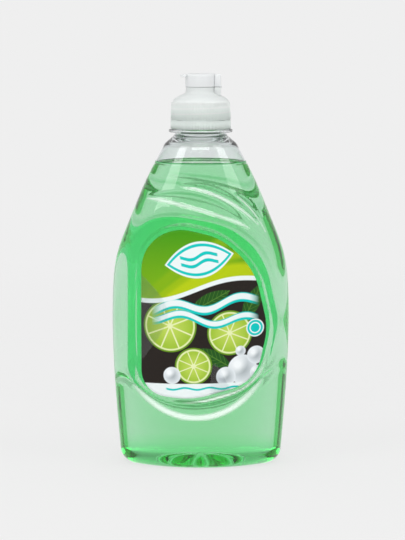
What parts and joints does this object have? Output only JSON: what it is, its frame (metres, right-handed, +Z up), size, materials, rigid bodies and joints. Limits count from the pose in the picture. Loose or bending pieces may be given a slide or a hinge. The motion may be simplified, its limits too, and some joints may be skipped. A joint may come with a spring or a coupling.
{
  "type": "dish soap bottle",
  "caption": "Clear oval dish soap bottle, full of green soap, with a label on each face, a ribbed screw closure, a tamper band and a flip lid on a film hinge.",
  "frame": {"origin": "middle of the foot, on the surface that the bottle stands on", "axes": "+Z up through the neck, -Y out of the front label, +X towards the lid's hinge"},
  "size_m": [0.0918, 0.055, 0.2026],
  "materials": {
    "clear_pet": "clear gloss",
    "green_soap": "clear liquid",
    "label_film": "printed film",
    "natural_closure": "translucent satin",
    "white_lid": "satin"
  },
  "bodies": {
    "bottle": {"bottle": "clear_pet", "dish_soap": "green_soap", "front_label": "label_film", "back_label": "label_film"},
    "band": {"tamper_band": "natural_closure"},
    "cap": {"screw_cap": "natural_closure", "living_hinge": "white_lid"},
    "lid": {"flip_lid": "white_lid"}
  },
  "joints": [
    {"name": "cap_twist", "type": "hinge", "parent": "bottle", "child": "band", "pos_m": [0, 0, 0.1738], "axis": [0, 0, 1], "range_deg": [0, 612]},
    {"name": "cap_lift", "type": "slide", "parent": "band", "child": "cap", "axis": [0, 0, 1], "range_m": [0, 0.035]},
    {"name": "lid_flip", "type": "hinge", "parent": "cap", "child": "lid", "pos_m": [0.0105, 0, 0.1955], "axis": [0, 1, 0], "range_deg": [0, 130], "deforming": ["living_hinge"]}
  ]
}
